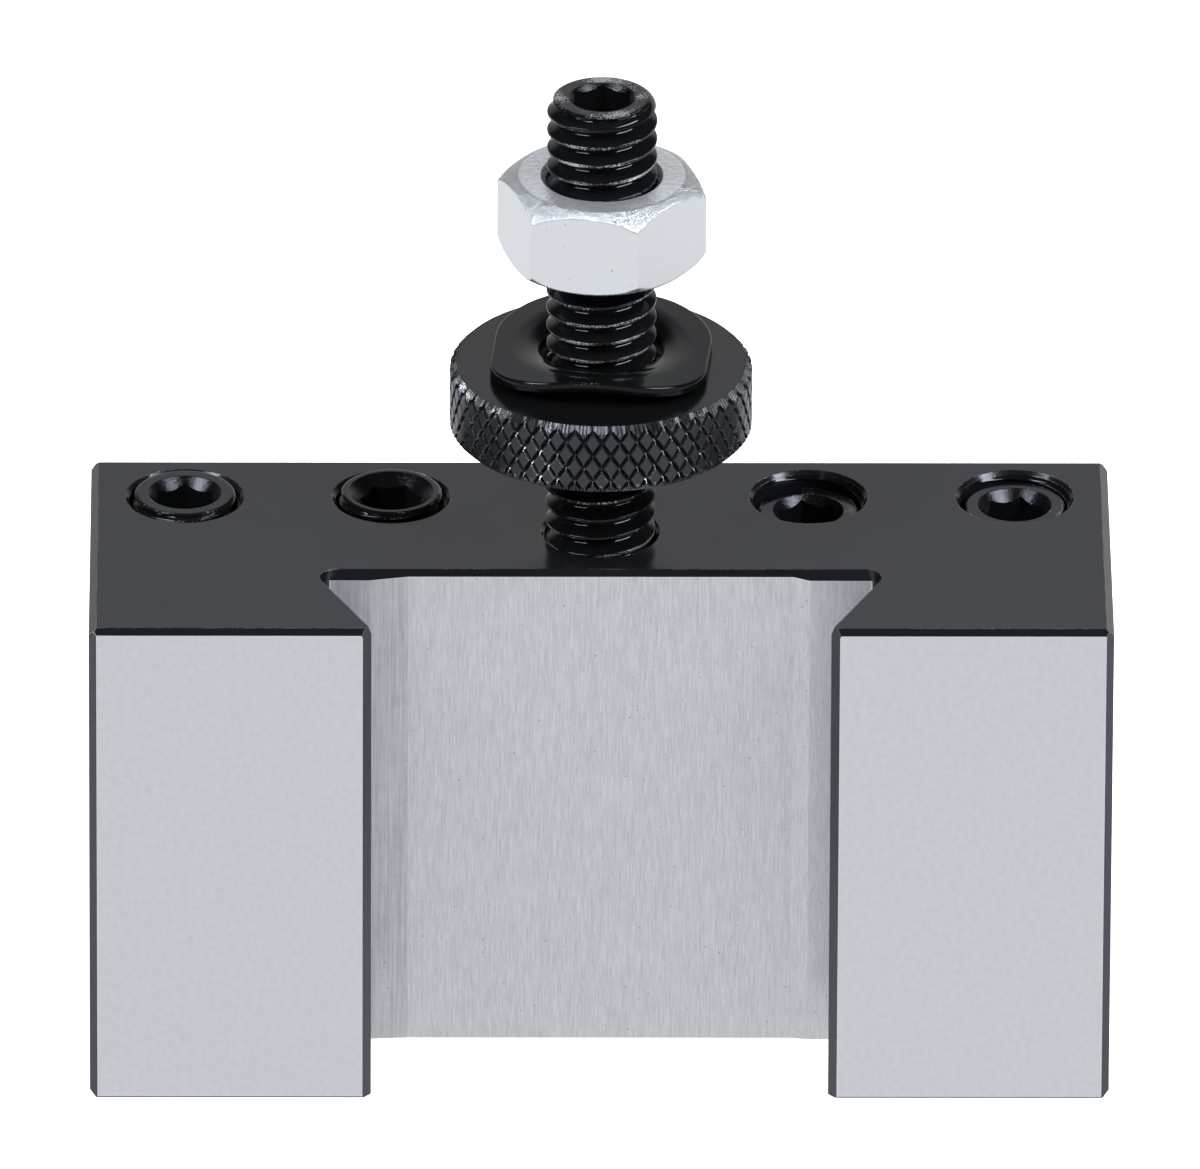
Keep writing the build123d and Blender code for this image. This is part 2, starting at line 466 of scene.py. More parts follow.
# The bevels cut along the upper front edge and round the dovetail's mouth: blacker and duller.
# Its darker film and weaker shine are partly painted shade: they darken these upward-facing bevels to the
# shade they show.
BEVEL_BLACK_AND_SHADE = BlackOxide(
    "Black oxide on a cut bevel", film="#090a0c", index=1.14, roughness=0.4, rounding=0.06, wear=0.26,
)
# Rolled threads: blacker and shinier than the block, bright where handling rubs them.
SCREW_BLACK = BlackOxide(
    "Black oxide on rolled thread", film="#070809", bare="#a6a9ad", index=1.34, roughness=0.1,
    cloudiness=0.02, grain_depth=0.0003, mark_length=EVEN, wear=0.25, fleck=0.14,
)
# The dish and the socket were cut and punched, so they are rougher than the thread and glint in points.
DISH_BLACK = BlackOxide(
    "Black oxide on a cut socket", film="#070809", bare="#94979b", index=1.34, roughness=0.11,
    mark_length=EVEN, grain=0.2, grain_depth=0.035, wear=0.27, fleck=0.1,
)
# Stamped spring steel: smooth and glossy.
WASHER_BLACK = BlackOxide(
    "Black oxide on spring steel", film="#050607", bare="#8c8f93", index=1.28, roughness=0.11,
    mark_depth=0.0004, mark_length=EVEN, wear=0.26,
)
# The height nut's turned faces, smoother and glossier than its rim.
TURNED_BLACK = BlackOxide(
    "Black oxide on turned steel", film="#060708", index=1.36, roughness=0.16, mark_length=EVEN,
)
# Its bevels, where the knurl runs out into short strokes.
RIM_BLACK = BlackOxide(
    "Black oxide on a knurled bevel", film="#0a0b0d", bare="#74777b", index=1.34, roughness=0.3,
    mark_length=EVEN, wear=0.2, fleck=0.12,
)
# Its knurled rim: satin, with the ridges rubbed bright.
KNURL_BLACK = BlackOxide(
    "Black oxide on knurled steel", film="#0f1012", bare="#8a8d91", index=1.55, roughness=0.28,
    mark_length=EVEN, grain=0.2, grain_depth=0.012, wear=0.27, fleck=0.14,
)
# The two front pads, surface ground: nearly even pale grey.
PAD_STEEL = GroundSteel("Surface ground steel")
# The band along the dovetail's floor, ground by a wheel that travels up and down: short upright grain.
FLOOR_STEEL = GroundSteel(
    "Steel ground along the dovetail", light="#d0d3d8", dark="#aeb1b6", roughness=0.4, grain_tone=0.92,
    grain_width=0.085, grain_length=(1.0, 1.0, 20.0), grain_depth=0.0014, mottle=1.2, pitted=0.9,
)
# Left of that band the floor still has its coarser, darker milled lines, and so have the flanks.
MILLED_STEEL = GroundSteel(
    "Milled steel beside the ground band", light="#c6c9ce", dark="#9b9ea3", roughness=0.42, grain_tone=0.85,
    grain_depth=0.002, grain_width=0.12, grain_length=(1.0, 1.0, 50.0), mottle=0.9, pitted=0.9,
)
# Flats of the lock nut: forged smooth, so the plate is even.
NUT_ZINC = ZincPlate("Zinc plate on forged steel", light="#dde1e6", dark="#d0d5da")
# Its faces were turned and are coarser, so the plate is softer and cloudier there.
FACE_ZINC = ZincPlate(
    "Zinc plate on turned steel", light="#eef2f6", dark="#b6bdc5", metal=0.86, roughness=0.26, grain=0.4,
    grain_depth=0.05, specked=0.3,
)
# The chamfers were cut with a dull tool: granular, darker, with points that sparkle.
CHAMFER_ZINC = ZincPlate(
    "Zinc plate on a cut chamfer", light="#e2e9f0", dark="#39434d", metal=0.86, roughness=0.24, grain=0.27,
    grain_depth=0.15, specked=0.5,
)
PAPER = BackdropPaper("White backdrop paper")


@dataclass(frozen=True)
class Place:
    """Where a CAD node stands at rest, in millimetres."""

    x: float
    y: float
    bottom: float
    top: float
    width: float
    depth: float

    @classmethod
    def of(cls, node: str) -> "Place":
        """Reads the place of a node from the frame.

        Args:
            node: The node's name.

        Returns:
            Its axis, ends and plan size.
        """
        low, high = (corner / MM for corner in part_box(node))
        return cls((low.x + high.x) / 2, (low.y + high.y) / 2, low.z, high.z, high.x - low.x, high.y - low.y)

    @property
    def radius(self) -> float:
        """Radius of a round node."""
        return self.width / 2


def filleted(corners: list[Point]) -> list[Pair]:
    """Rounds the corners between the ends of a profile.

    Args:
        corners: Radius, height and fillet radius of each corner. A fillet of 0 leaves it sharp.

    Returns:
        Radius and height of each point of the rounded profile.
    """
    points: list[Pair] = []
    for k, (x, y, radius) in enumerate(corners):
        if k in (0, len(corners) - 1) or radius <= 0:
            points.append((x, y))
            continue
        here = Vector((x, y))
        before, after = (Vector(corners[n][:2]) - here for n in (k - 1, k + 1))
        half = before.angle(after) / 2
        reach = min(radius / math.tan(half), before.length * FILLET_SHARE, after.length * FILLET_SHARE)
        start, end = here + before.normalized() * reach, here + after.normalized() * reach
        for step in range(FILLET_STEPS + 1):
            t = step / FILLET_STEPS
            bend = (1 - t) ** 2 * start + 2 * t * (1 - t) * here + t ** 2 * end
            points.append((bend.x, bend.y))
    return points


def polar(radius: float, angle: float, height: float) -> Point:
    """Gives the point at a distance from the Z axis, in a direction in radians, at a height."""
    return radius * math.cos(angle), radius * math.sin(angle), height


def turned_rows(profile: Iterable[Pair], segments: int, turn: float = 0.0) -> list[Row]:
    """Rings of points that turn a profile round the Z axis.

    Args:
        profile: Radius and height of each ring.
        segments: Points in a ring.
        turn: Angle of the first point in degrees.

    Returns:
        One ring for each point of the profile.
    """
    angles = [math.radians(turn) + 2 * math.pi * k / segments for k in range(segments)]
    return [[polar(r, a, z) for a in angles] for r, z in profile]


class Skin:
    """A mesh that is gathered from rings of points and then made in one go."""

    def __init__(self) -> None:
        """Starts with no points."""
        self.points: list[Point] = []
        self.wear: list[float] = []
        self.faces: list[tuple[int, ...]] = []

    def add_ring(self, ring: Row, wear: float = 0.0) -> list[int]:
        """Adds points.

        Args:
            ring: The points in millimetres.
            wear: How far the finish is rubbed off there, from 0 to 1.

        Returns:
            The numbers of the new points.
        """
        first = len(self.points)
        self.points += ring
        self.wear += [wear] * len(ring)
        return list(range(first, len(self.points)))

    def join(self, low: list[int], high: list[int]) -> None:
        """Joins two rings with a band of faces."""
        count = len(low)
        for k in range(count):
            n = (k + 1) % count
            self.faces.append((low[k], low[n], high[n], high[k]))

    def add_rows(
        self, rows: list[Row], wear: Optional[list[float]] = None, loop: bool = False,
    ) -> list[list[int]]:
        """Adds rings joined one to the next.

        Args:
            rows: Rings of equally many points.
            wear: Wear of each ring.
            loop: Whether the last ring joins the first, as round a tube.

        Returns:
            The point numbers of each ring.
        """
        made = [self.add_ring(row, wear[k] if wear else 0.0) for k, row in enumerate(rows)]
        for low, high in zip(made, made[1:]):
            self.join(low, high)
        if loop:
            self.join(made[-1], made[0])
        return made

    def cap(self, ring: list[int], flip: bool = False) -> None:
        """Closes a ring with one face."""
        self.faces.append(tuple(reversed(ring)) if flip else tuple(ring))

    def mesh(self, name: str, at: Point, turn: float = 0.0) -> bpy.types.Mesh:
        """Makes the mesh, with doubled points merged and the faces turned outwards.

        Args:
            name: Name of the mesh.
            at: Where its own origin goes, in millimetres.
            turn: Turn about its own Z axis in degrees.

        Returns:
            The mesh in metres in the frame's place.
        """
        mesh = bpy.data.meshes.new(name)
        mesh.from_pydata(self.points, [], self.faces)
        mesh.attributes.new(WEAR, "FLOAT", "POINT").data.foreach_set("value", self.wear)
        mesh.transform(Matrix.Translation(at) @ Matrix.Rotation(math.radians(turn), 4, "Z"))
        mesh.transform(Matrix.Scale(MM, 4))
        tidy(mesh)
        return mesh


def tidy(mesh: bpy.types.Mesh, merge: float = 0.002) -> None:
    """Merges doubled points, drops empty faces and turns all faces outwards.

    Args:
        mesh: The mesh in metres.
        merge: Largest distance of doubled points in millimetres. Faces thinner than a quarter of it go.
    """
    bm = bmesh.new()
    bm.from_mesh(mesh)
    bmesh.ops.remove_doubles(bm, verts=bm.verts, dist=merge * MM)
    bmesh.ops.dissolve_degenerate(bm, edges=bm.edges, dist=merge * MM / 4)
    bmesh.ops.recalc_face_normals(bm, faces=bm.faces)
    bm.to_mesh(mesh)
    bm.free()


def smooth(mesh: bpy.types.Mesh, sharp_above: float) -> None:
    """Shades a mesh smooth but for edges above an angle in degrees."""
    mesh.shade_smooth()
    mesh.set_sharp_from_angle(angle=math.radians(sharp_above))


def intersect(mesh: bpy.types.Mesh, other: bpy.types.Mesh) -> bpy.types.Mesh:
    """Keeps what two closed meshes have in common.

    Args:
        mesh: The first mesh.
        other: The second mesh.

    Returns:
        A new mesh.
    """
    first, second = (bpy.data.objects.new(part.name, part) for part in (mesh, other))
    for part in (first, second):
        bpy.context.scene.collection.objects.link(part)
    cut = first.modifiers.new("common", "BOOLEAN")
    cut.operation, cut.solver, cut.object = "INTERSECT", "EXACT", second
    result = bpy.data.meshes.new_from_object(first.evaluated_get(bpy.context.evaluated_depsgraph_get()))
    result.name = mesh.name
    for part in (first, second):
        bpy.data.objects.remove(part)
    return result


def wear_on_edges(mesh: bpy.types.Mesh, from_angle: float, full_angle: float) -> None:
    """Writes the mesh's wear from how sharply it stands out at each point.

    Args:
        mesh: The mesh to mark.
        from_angle: Outward fold in degrees where wear starts.
        full_angle: Outward fold where it is full.
    """
    bm = bmesh.new()
    bm.from_mesh(mesh)
    values = [0.0] * len(bm.verts)
    for edge in bm.edges:
        if len(edge.link_faces) != 2 or not edge.is_convex:
            continue
        angle = math.degrees(edge.calc_face_angle(0.0))
        share = min(1.0, max(0.0, (angle - from_angle) / (full_angle - from_angle)))
        for vert in edge.verts:
            values[vert.index] = max(values[vert.index], share)
    bm.free()
    layer = mesh.attributes.get(WEAR) or mesh.attributes.new(WEAR, "FLOAT", "POINT")
    layer.data.foreach_set("value", values)


def put(
    mesh: bpy.types.Mesh, body: Body | str, finishes: list[Finish], replaces: Iterable[str] = (),
) -> bpy.types.Object:
    """Makes a piece of the object from a mesh that already lies in its place.

    Args:
        mesh: The mesh in metres.
        body: The body that it rides on.
        finishes: Its finishes, in the order of the mesh's material numbers.
        replaces: CAD nodes that it stands for.

    Returns:
        The new object.
    """
    piece = bpy.data.objects.new(mesh.name, mesh)
    bpy.context.scene.collection.objects.link(piece)
    for finish in finishes:
        mesh.materials.append(finish.material())
    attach(piece, body.value if isinstance(body, Body) else body)
    if replaces:
        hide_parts(*replaces)
    log.info("%s: %d faces", piece.name, len(mesh.polygons))
    return piece


@dataclass(frozen=True)
class Thread:
    """A right-hand thread, cut as a skin whose rows of points follow the helix."""

    crest_radius: float
    pitch: float = INCH / TURNS_PER_INCH
    crest_flat: float = 0.2
    crest_round: float = 0.12
    root_round: float = 0.25
    flank_angle: float = 30.0
    lift: float = 0.0
    row_height: float = 0.16
    rubbed_depth: float = 0.012
    spare_turns: int = 3

    def turn_profile(self) -> list[Point]:
        """Height, radius and wear of each row in one pitch, from crest to crest."""
        crest, half_crest = self.crest_radius, self.crest_flat / 2
        apex = crest - (self.pitch / 2 - half_crest) / math.tan(math.radians(self.flank_angle))
        corners = [
            (crest, 0.0, 0.0), (crest, half_crest, self.crest_round),
            (apex, self.pitch / 2, self.root_round),
            (crest, self.pitch - half_crest, self.crest_round), (crest, self.pitch, 0.0),
        ]
        outline = filleted(corners)
        rows: list[Point] = []
        for (r0, z0), (r1, z1) in zip(outline, outline[1:]):
            parts = max(1, math.ceil(math.hypot(r1 - r0, z1 - z0) / self.row_height))
            for part in range(parts):
                t = part / parts
                radius = r0 + (r1 - r0) * t
                worn = 1.0 if self.crest_radius - radius < self.rubbed_depth else 0.0
                rows.append((z0 + (z1 - z0) * t, radius, worn))
        return rows

    def lay(
        self, skin: Skin, bottom: float, top: float, limit: Callable[[float, float], float],
        segments: int, start_angle: float,
    ) -> tuple[list[int], list[int]]:
        """Lays the thread's skin between two heights.

        Args:
            skin: The skin that gets the points.
            bottom: Lower end in millimetres.
            top: Upper end in millimetres.
            limit: Gives the radius to use from a height and the thread's own radius there.
            segments: Points in each turn.
            start_angle: Angle of the first point in degrees.

        Returns:
            The point numbers of the rings at the lower and upper end.
        """
        profile = self.turn_profile()
        turns = math.ceil((top - bottom) / self.pitch) + self.spare_turns
        rows = len(profile) * turns
        columns: list[list[int]] = []
        for column in range(segments):
            angle = math.radians(start_angle) + 2 * math.pi * column / segments
            rise = self.pitch * (column / segments - 1) + self.lift % self.pitch - self.pitch
            points, wear = [], []
            for row in range(rows + 1):
                height, radius, worn = profile[row % len(profile)]
                height += bottom + rise + self.pitch * (row // len(profile))
                held = min(max(height, bottom), top)
                reach = limit(held, radius)
                points.append(polar(reach, angle, held))
                wear.append(worn if held == height and abs(reach - radius) < TINY else 0.0)
            numbers = skin.add_ring(points)
            skin.wear[numbers[0]:] = wear
            columns.append(numbers)
        for column in range(segments):
            wrap = len(profile) if column == segments - 1 else 0
            here, there = columns[column], columns[(column + 1) % segments]
            for row in range(rows):
                skin.faces.append((
                    here[row], there[min(row + wrap, rows)], there[min(row + 1 + wrap, rows)], here[row + 1],
                ))
        return [column[0] for column in columns], [column[-1] for column in columns]


@dataclass(frozen=True)
class SocketScrew:
    """A headless screw: thread, bevelled ends, and a dished hexagon socket in its upper face."""

    node: str
    thread: Thread
    socket_turn: float
    socket_depth: float
    face_radius: float
    dish_radius: float
    point_bevel: float
    crown_width: float
    crown_depth: float
    dish_angle: float = 45.0
    dish_shares: tuple[float, ...] = (0.6, 0.2, 0.0)
    dish_lip: float = 0.2
    socket_across_flats: float = 3.97
    socket_bevel: float = 0.06
    corner_gap: float = 0.01
    drill_radius: float = 0.2
    drill_depth: float = 0.9
    below_socket: float = 1.0
    rim_drop: float = 0.12
    rim_shares: tuple[float, ...] = (0.55, 0.25, 0.08)
    edge_round: float = 0.08
    held_flat: float = 0.04
    top_run_out: float = 0.8
    point_run_out: float = 0.6
    rim_wear: float = 0.9
    face_wear: float = 0.7
    lip_wear: float = 0.8
    socket_wear: tuple[float, ...] = (0.0, 0.5, 0.8, 0.0, 0.0, 0.0)
    segments: int = 96

    def rim(self, drop: float) -> float:
        """Radius of the crowned edge at a depth below the face."""
        share = 1 - min(drop / self.crown_depth, 1.0)
        return self.face_radius + self.crown_width * math.sqrt(1 - share ** 2)

    def limit(self, bottom: float, top: float) -> Callable[[float, float], float]:
        """Gives the rule that crowns the upper end, bevels the point and runs the thread out at both."""
        point = self.thread.crest_radius - self.point_bevel

        def held(height: float, radius: float) -> float:
            """Holds the thread's radius between its run-outs and the crown."""
            down, up = top - height, height - bottom
            outer = min(self.rim(down), point + up)
            run_out = self.rim(self.rim_drop) - self.top_run_out * (down - self.rim_drop)
            return min(outer, max(radius, run_out, point - self.point_run_out * up))
        return held

    def socket_rows(self) -> tuple[list[Row], list[float]]:
        """Rings from the crowned rim into the socket, with the face at height 0, and their wear."""
        slope = math.tan(math.radians(self.dish_angle))
        drops = [self.rim_drop * share for share in self.rim_shares]
        dish, lip = self.dish_radius, self.dish_lip
        edge = [(self.face_radius, 0, 0), (dish, 0, self.edge_round), (dish - lip, -lip * slope, 0)]
        flat_ring = filleted(edge)
        held = [(self.face_radius - self.held_flat, 0.0), (dish + self.edge_round + self.held_flat, 0.0)]
        profile = [(self.rim(drop), -drop) for drop in drops] + flat_ring[:1] + held + flat_ring[1:-1]
        rows = turned_rows(profile, self.segments, self.socket_turn)
        wear = [self.rim_wear] * len(drops) + [self.face_wear] * (1 + len(held))
        wear += [self.lip_wear] * (len(flat_ring) - 2)
        inner = profile[-1][0]
        half_flat = self.socket_across_flats / 2
        walls: list[Row] = [[] for _ in self.socket_wear]
        for k in range(self.segments):
            angle = 360 * k / self.segments
            corner = min(half_flat / math.cos(math.radians(angle % 60 - 30)), inner - self.corner_gap)
            turn = math.radians(self.socket_turn + angle)
            radii = [corner + (inner - corner) * share for share in self.dish_shares]
            places = [(radius, -(dish - radius) * slope) for radius in radii]
            places += [
                (corner, places[-1][1] - self.socket_bevel), (corner, -self.socket_depth),
                (self.drill_radius, -self.socket_depth - self.drill_depth),
            ]
            for row, (radius, height) in zip(walls, places):
                row.append(polar(radius, turn, height))
        return rows + walls, wear + list(self.socket_wear)

    def build(self, body: Body | str) -> bpy.types.Object:
        """Builds the screw in its place.

        Args:
            body: The body that it rides on.

        Returns:
            The new piece.
        """
        place = Place.of(self.node)
        skin = Skin()
        low, high = self.thread.lay(
            skin, place.bottom, place.top - self.rim_drop, self.limit(place.bottom, place.top), self.segments,
            self.socket_turn,
        )
        rows, wear = self.socket_rows()
        raised = [[(x, y, z + place.top) for x, y, z in row] for row in rows]
        made = skin.add_rows(raised, wear)
        skin.join(high, made[0])
        skin.cap(made[-1])
        skin.cap(low, flip=True)
        mesh = skin.mesh(f"{self.node}_dressed", (place.x, place.y, 0.0))
        smooth(mesh, sharp_above=40.0)
        floor = place.top - self.socket_depth - self.below_socket
        for polygon in mesh.polygons:
            centre = polygon.center / MM
            away = math.hypot(centre.x - place.x, centre.y - place.y)
            polygon.material_index = int(away < self.dish_radius and centre.z > floor)
        return put(mesh, body, [SCREW_BLACK, DISH_BLACK], [self.node])


@dataclass(frozen=True)
class HoleThread:
    """The thread inside a clamp screw's hole: a liner whose ridges stand in from the hole's plain wall."""

    screw: str
    ridge_radius: float = 3.78
    wall_radius: float = 4.02
    mouth_bevel: float = 0.27
    hidden_radius: float = 4.1
    slot_roof: float = 25.6
    above_roof: float = 0.3
    below_mouth: float = 0.2
    first_ridge: float = 1.05
    segments: int = 64

    def build(self) -> bpy.types.Object:
        """Builds the liner in its hole, from just below the mouth to just over the tool slot.

        Returns:
            The new piece.
        """
        place, block = Place.of(self.screw), Place.of("tool_block")
        bottom, top = self.slot_roof + self.above_roof, block.top - self.below_mouth

        def held(height: float, radius: float) -> float:
            """Turns the thread inside out and ends its ridges in bevels."""
            end = min(block.top - height, height - bottom)
            ridge = 2 * self.ridge_radius - radius
            return min(max(ridge, self.wall_radius + self.mouth_bevel - end), self.hidden_radius)

        skin = Skin()
        thread = Thread(self.ridge_radius, lift=self.first_ridge)
        low, high = thread.lay(skin, bottom, top, held, self.segments, 0.0)
        skin.join(high, low)
        mesh = skin.mesh(f"{self.screw}_hole_thread", (place.x, place.y, 0.0))
        smooth(mesh, sharp_above=50.0)
        return put(mesh, Body.HOLDER, [SCREW_BLACK])


@dataclass(frozen=True)
class KnurledNut:
    """The height nut: two families of grooves cross round its rim, and both rims are bevelled."""

    node: str = "knurled_nut"
    grooves: int = 52
    groove_rise: float = 2.0
    groove_depth: float = 0.3
    groove_share: float = 0.17
    rubbed_share: float = 0.05
    flank_share: float = 0.7
    flank_depth: float = 0.22
    past_faces: float = 0.8
    rim_bevel: float = 0.44
    stroke_inset: float = 0.14
    past_rim: float = 1.2
    teeth: int = 260
    tooth_depth: float = 0.8
    bore_clearance: float = 0.05
    bore_lip: float = 0.25

    def knurl(self, radius: float, height: float) -> Skin:
        """Lays the knurled rim as a lattice whose lines run along the grooves.

        Args:
            radius: Outer radius.
            height: Height of the nut.

        Returns:
            A closed skin that stands past both faces.
        """
        share, flank = self.groove_share, self.groove_share * self.flank_share
        line_end = share + self.rubbed_share
        steps = (0.0, flank, share, line_end, 0.5, 1 - line_end, 1 - share, 1 - flank)
        depths = (1.0, self.flank_depth, 0.0, 0.0, 0.0, 0.0, 0.0, self.flank_depth)
        count = len(steps)
        around = self.grooves * count
        reach = (math.ceil(height / self.groove_rise) + 1) * count
        skin = Skin()
        rows: list[list[int]] = []
        low, high = -self.past_faces, height + self.past_faces

        def line(k: int) -> Pair:
            """Gives the place and the depth of one line of the lattice."""
            return k // count + steps[k % count], depths[k % count]

        for gap in range(-count, 2 * reach - count + 1):
            ring: Row = []
            for k in range(around):
                first, depth_a = line(k)
                second, depth_b = line(k - gap)
                angle = math.pi * (first + second) / self.grooves
                z = (first - second) * self.groove_rise / 2
                out = radius - max(depth_a, depth_b) * self.groove_depth
                ring.append(polar(out, angle, min(max(z, low), high)))
            rows.append(skin.add_ring(ring))
        for gap in range(1, len(rows) - 1):
            for k in range(around):
                n = (k + 1) % around
                skin.faces.append((rows[gap][k], rows[gap + 1][n], rows[gap][n], rows[gap - 1][k]))
        return skin

    def build(self) -> bpy.types.Object:
        """Builds the nut in its place.

        Returns:
            The new piece.
        """
        place, stud = Place.of(self.node), Place.of("height_stud")
        radius, height = place.radius, place.top - place.bottom
        rim = self.knurl(radius, height)
        knurled = rim.mesh("knurl", (place.x, place.y, place.bottom))
        close_ends(knurled)
        bore, lip = stud.radius + self.bore_clearance, self.bore_lip
        bevel, past, inset = self.rim_bevel, self.past_rim, self.stroke_inset
        half = [(bore, lip), (bore + lip, 0.0), (radius - bevel - inset, 0.0), (radius - bevel, 0.0)]
        outer = [(radius + past, bevel + past), (radius + past, height - bevel - past)]
        profile = half + outer + [(r, height - z) for r, z in reversed(half)]
        rows = turned_rows(profile, 2 * self.teeth)
        for number, side in ((len(half), 1), (len(half) + 1, -1)):
            deep = side * self.tooth_depth
            rows[number] = [(x, y, z + deep * (k % 2)) for k, (x, y, z) in enumerate(rows[number])]
        blank = Skin()
        blank.add_rows(rows, loop=True)
        mesh = intersect(knurled, blank.mesh("blank", (place.x, place.y, place.bottom)))
        mesh.name = "knurled_nut_dressed"
        tidy(mesh, merge=0.004)
        wear_on_edges(mesh, from_angle=12.0, full_angle=34.0)
        smooth(mesh, sharp_above=30.0)
        for polygon in mesh.polygons:
            away = Vector((polygon.center.x / MM - place.x, polygon.center.y / MM - place.y)).length
            level = polygon.center.z / MM - place.bottom
            on_bevel = min(level, height - level) < bevel + inset
            polygon.material_index = 0 if away < radius - bevel - inset else 1 if on_bevel else 2
        finishes = [TURNED_BLACK, RIM_BLACK, KNURL_BLACK]
        return put(mesh, Body.HEIGHT_NUT, finishes, [self.node])


def close_ends(mesh: bpy.types.Mesh) -> None:
    """Fills the open rims of a mesh, each with one face."""
    bm = bmesh.new()
    bm.from_mesh(mesh)
    rims = [edge for edge in bm.edges if edge.is_boundary]
    bmesh.ops.holes_fill(bm, edges=rims, sides=0)
    bmesh.ops.recalc_face_normals(bm, faces=bm.faces)
    bm.to_mesh(mesh)
    bm.free()


@dataclass(frozen=True)
class SpringWasher:
    """The bowed square washer: rounded corners, a crown over the middle, and a dish round the hole."""

    node: str = "spring_washer"
    width: float = 15.5
    depth: float = 14.8
    corner_radius: float = 5.2
    thickness: float = 0.8
    bow: float = 1.1
    hole_radius: float = 4.45
    hole_roll: float = 0.5
    roll_width: float = 2.2
    turn: float = -5.0
    rim_round: float = 0.16
    rim_wear: float = 0.6
    rim_steps: int = 4
    top_steps: int = 18
    segments: int = 192

    def outline(self, angle: float) -> float:
        """Distance from the centre to the outer rim.

        Args:
            angle: Direction in radians.

        Returns:
            The distance in millimetres.
        """
        half_x, half_y, round_r = self.width / 2, self.depth / 2, self.corner_radius
        c, s = abs(math.cos(angle)), abs(math.sin(angle))
        flat = min(half_x / max(c, TINY), half_y / max(s, TINY))
        x, y = flat * c, flat * s
        centre_x, centre_y = half_x - round_r, half_y - round_r
        if x <= centre_x or y <= centre_y:
            return flat
        along = centre_x * c + centre_y * s
        across = centre_x * s - centre_y * c
        return along + math.sqrt(round_r ** 2 - across ** 2)

    def crown(self, x: float) -> float:
        """Height of the underside over the washer's lowest edge."""
        radius = ((self.width / 2) ** 2 + self.bow ** 2) / (2 * self.bow)
        return self.bow - radius + math.sqrt(radius ** 2 - x ** 2)

    def roll(self, radius: float) -> float:
        """How far the punch drew the washer down towards the hole."""
        return self.hole_roll * max(0.0, 1 - (radius - self.hole_radius) / self.roll_width) ** 2

    def build(self) -> bpy.types.Object:
        """Builds the washer in its place.

        Returns:
            The new piece.
        """
        place = Place.of(self.node)
        skin = Skin()
        rows, wear = self.section_rows()
        skin.add_rows(rows, wear, loop=True)
        mesh = skin.mesh("spring_washer_dressed", (place.x, place.y, place.bottom), self.turn)
        smooth(mesh, sharp_above=50.0)
        return put(mesh, Body.WASHER, [WASHER_BLACK], [self.node])

    def section_rows(self) -> tuple[list[Row], list[float]]:
        """Gives the rings round the washer's section.

        Returns:
            The rings, from the hole's rim over the top, round the outer rim and back below, and their wear.
        """
        quarter = [math.pi / 2 * k / self.rim_steps for k in range(self.rim_steps + 1)]
        rim = [(self.rim_round * (1 - math.cos(a)), self.rim_round * (1 - math.sin(a))) for a in quarter]
        across = [k / self.top_steps for k in range(1, self.top_steps)]
        top = [(0.0, inset, self.thickness - drop, self.rim_wear) for inset, drop in rim]
        top += [(share, 0.0, self.thickness, 0.0) for share in across]
        top += [(1.0, -inset, self.thickness - drop, self.rim_wear) for inset, drop in reversed(rim)]
        below = [(share, inset, self.thickness - level, 0.0) for share, inset, level, _ in reversed(top)]
        rows: list[Row] = []
        for share, inset, level, _ in top + below:
            row: Row = []
            for k in range(self.segments):
                angle = 2 * math.pi * k / self.segments
                radius = self.hole_radius + (self.outline(angle) - self.hole_radius) * share + inset
                height = level + self.crown(radius * math.cos(angle)) - self.roll(radius)
                row.append(polar(radius, angle, height))
            rows.append(row)
        return rows, [worn for *_, worn in top + below]


def blended(first: float, second: float, reach: float) -> float:
    """Gives the smaller of two sizes, eased where they cross within a reach."""
    near = max(reach - abs(first - second), 0.0)
    return min(first, second) - near ** 2 / (4 * reach)


